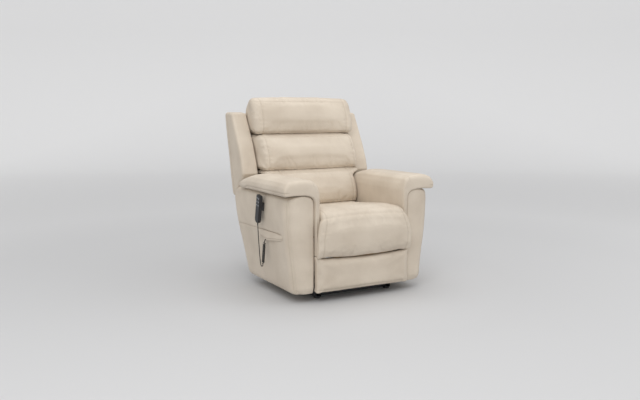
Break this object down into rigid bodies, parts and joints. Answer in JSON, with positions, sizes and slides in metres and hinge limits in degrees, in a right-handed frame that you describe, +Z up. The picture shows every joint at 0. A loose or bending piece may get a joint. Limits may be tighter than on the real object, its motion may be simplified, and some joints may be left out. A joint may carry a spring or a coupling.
{
  "type": "powered lift recliner chair",
  "caption": "Powered lift recliner armchair in padded leather with a reclining back, scissor footrest, lift base and corded handset.",
  "frame": {"origin": "on the floor, at the middle of the chair's bounding box seen from above", "axes": "+Z up, -Y to the front of the chair, +X to the sitter's left"},
  "size_m": [0.954, 0.9455, 1.082],
  "materials": {
    "leather": "semi-matt grained beige leather",
    "timber": "planed softwood",
    "key_plastic": "matt grey",
    "cord": "matt black",
    "black_plastic": "matt black",
    "zinc_plate": "zinc-plated",
    "black_steel": "black powder coat"
  },
  "bodies": {
    "base": {"base_frame": "black_steel", "floor_glides": "black_plastic"},
    "lift_arms": {"lift_arm_left": "black_steel", "lift_arm_right": "black_steel", "lift_cross_tube": "black_steel"},
    "guide_links": {"guide_link_left": "black_steel", "guide_link_right": "black_steel"},
    "lift_motor": {"lift_motor": "black_plastic"},
    "lift_rod": {"lift_motor_rod": "zinc_plate"},
    "chair": {"side_plate_left": "zinc_plate", "side_plate_right": "zinc_plate", "chassis_tubes": "black_steel", "lift_plate_left": "black_steel", "lift_plate_right": "black_steel", "seat_frame": "timber", "seat_springs": "zinc_plate", "seat_cushion": "leather", "arm_box_left": "leather", "arm_box_right": "leather", "arm_front_left": "leather", "arm_front_right": "leather", "arm_pad_left": "leather", "arm_pad_right": "leather", "pocket_flap": "leather", "control_box": "black_plastic", "handset_holder": "black_plastic", "handset_shell": "black_plastic", "curly_cord": "cord"},
    "front_links": {"front_link_left": "zinc_plate", "front_link_right": "zinc_plate", "foot_drive_tube": "black_steel"},
    "rear_links": {"rear_link_left": "zinc_plate", "rear_link_right": "zinc_plate"},
    "upper_links": {"upper_link_left": "zinc_plate", "upper_link_right": "zinc_plate"},
    "lower_links": {"lower_link_left": "zinc_plate", "lower_link_right": "zinc_plate"},
    "footrest": {"foot_bracket_left": "zinc_plate", "foot_bracket_right": "zinc_plate", "footrest_board": "timber", "footrest_pad": "leather"},
    "foot_motor": {"foot_motor": "black_plastic"},
    "foot_rod": {"foot_motor_rod": "zinc_plate"},
    "back": {"back_brackets": "zinc_plate", "back_frame": "timber", "back_webbing": "black_plastic", "back_panel": "leather", "wing_left": "leather", "wing_right": "leather", "headrest_cushion": "leather", "middle_cushion": "leather", "lumbar_cushion": "leather"},
    "recline_motor": {"recline_motor": "black_plastic"},
    "recline_rod": {"recline_motor_rod": "zinc_plate"},
    "key_lift_up": {"button_lift_up": "key_plastic"},
    "key_lift_down": {"button_lift_down": "key_plastic"},
    "key_back_up": {"button_back_up": "key_plastic"},
    "key_back_down": {"button_back_down": "key_plastic"},
    "key_foot_out": {"button_foot_out": "key_plastic"},
    "key_foot_in": {"button_foot_in": "key_plastic"}
  },
  "joints": [
    {"name": "lift", "type": "hinge", "parent": "base", "child": "lift_arms", "pos_m": [0, -0.31502, 0.12998], "axis": [1, 0, 0], "range_deg": [0, 50]},
    {"name": "lift_chair_tilt", "type": "hinge", "parent": "lift_arms", "child": "chair", "pos_m": [0, 0.03999, 0.06], "axis": [1, 0, 0], "range_deg": [-34, 1]},
    {"name": "lift_guide", "type": "hinge", "parent": "base", "child": "guide_links", "pos_m": [0, -0.26001, 0.15103], "axis": [1, 0, 0], "range_deg": [-1, 48]},
    {"name": "lift_motor_swing", "type": "hinge", "parent": "base", "child": "lift_motor", "pos_m": [0, -0.30001, 0.06], "axis": [1, 0, 0], "range_deg": [-1, 43]},
    {"name": "lift_rod_slide", "type": "slide", "parent": "lift_motor", "child": "lift_rod", "axis": [0, 0.9118, 0.4105], "range_m": [-0.001, 0.054]},
    {"name": "recline", "type": "hinge", "parent": "chair", "child": "back", "pos_m": [0, 0.18496, 0.29002], "axis": [-1, 0, 0], "range_deg": [0, 50]},
    {"name": "recline_motor_swing", "type": "hinge", "parent": "chair", "child": "recline_motor", "pos_m": [-0.07, 0.02499, 0.25302], "axis": [-1, 0, 0], "range_deg": [-1, 9]},
    {"name": "recline_rod_slide", "type": "slide", "parent": "recline_motor", "child": "recline_rod", "axis": [0, 1, -0.0048], "range_m": [-0.0435, 0.001]},
    {"name": "footrest", "type": "hinge", "parent": "chair", "child": "front_links", "pos_m": [0, -0.29098, 0.3], "axis": [-1, 0, 0], "range_deg": [0, 92]},
    {"name": "foot_upper", "type": "hinge", "parent": "front_links", "child": "upper_links", "pos_m": [0, -0.20197, 0.13204], "axis": [-1, 0, 0], "range_deg": [-89, 1]},
    {"name": "foot_panel", "type": "hinge", "parent": "upper_links", "child": "footrest", "pos_m": [0, -0.38503, 0.23501], "axis": [-1, 0, 0], "range_deg": [-1, 84.5]},
    {"name": "foot_rear", "type": "hinge", "parent": "chair", "child": "rear_links", "pos_m": [0, -0.24596, 0.29404], "axis": [-1, 0, 0], "range_deg": [-1, 93]},
    {"name": "foot_lower", "type": "hinge", "parent": "front_links", "child": "lower_links", "pos_m": [0, -0.19, 0.07497], "axis": [-1, 0, 0], "range_deg": [-88.5, 1]},
    {"name": "foot_motor_swing", "type": "hinge", "parent": "chair", "child": "foot_motor", "pos_m": [0.07, -0.12597, 0.28199], "axis": [1, 0, 0], "range_deg": [-5, 1]},
    {"name": "foot_rod_slide", "type": "slide", "parent": "foot_motor", "child": "foot_rod", "axis": [0, -0.9979, -0.065], "range_m": [-0.001, 0.0445]},
    {"name": "press_lift_up", "type": "slide", "parent": "chair", "child": "key_lift_up", "axis": [1, 0, 0], "range_m": [0, 0.0012], "stiffness_N_per_m": 600, "springref_m": -0.0004},
    {"name": "press_lift_down", "type": "slide", "parent": "chair", "child": "key_lift_down", "axis": [1, 0, 0], "range_m": [0, 0.0012], "stiffness_N_per_m": 600, "springref_m": -0.0004},
    {"name": "press_back_up", "type": "slide", "parent": "chair", "child": "key_back_up", "axis": [1, 0, 0], "range_m": [0, 0.0012], "stiffness_N_per_m": 600, "springref_m": -0.0004},
    {"name": "press_back_down", "type": "slide", "parent": "chair", "child": "key_back_down", "axis": [1, 0, 0], "range_m": [0, 0.0012], "stiffness_N_per_m": 600, "springref_m": -0.0004},
    {"name": "press_foot_out", "type": "slide", "parent": "chair", "child": "key_foot_out", "axis": [1, 0, 0], "range_m": [0, 0.0012], "stiffness_N_per_m": 600, "springref_m": -0.0004},
    {"name": "press_foot_in", "type": "slide", "parent": "chair", "child": "key_foot_in", "axis": [1, 0, 0], "range_m": [0, 0.0012], "stiffness_N_per_m": 600, "springref_m": -0.0004}
  ],
  "couplings": [
    {"joint": "lift_chair_tilt", "follows": "lift", "ratio": -0.661},
    {"joint": "lift_guide", "follows": "lift", "ratio": 0.9323},
    {"joint": "lift_motor_swing", "follows": "lift", "ratio": 0.8423},
    {"joint": "lift_rod_slide", "follows": "lift", "m_per_rad": 0.06105},
    {"joint": "recline_motor_swing", "follows": "recline", "ratio": 0.1669},
    {"joint": "recline_rod_slide", "follows": "recline", "m_per_rad": -0.0488},
    {"joint": "foot_upper", "follows": "footrest", "ratio": -0.9585},
    {"joint": "foot_panel", "follows": "footrest", "ratio": 0.9127},
    {"joint": "foot_rear", "follows": "footrest", "ratio": 1.0046},
    {"joint": "foot_lower", "follows": "footrest", "ratio": -0.9555},
    {"joint": "foot_motor_swing", "follows": "footrest", "ratio": -0.0485},
    {"joint": "foot_rod_slide", "follows": "footrest", "m_per_rad": 0.02709}
  ]
}
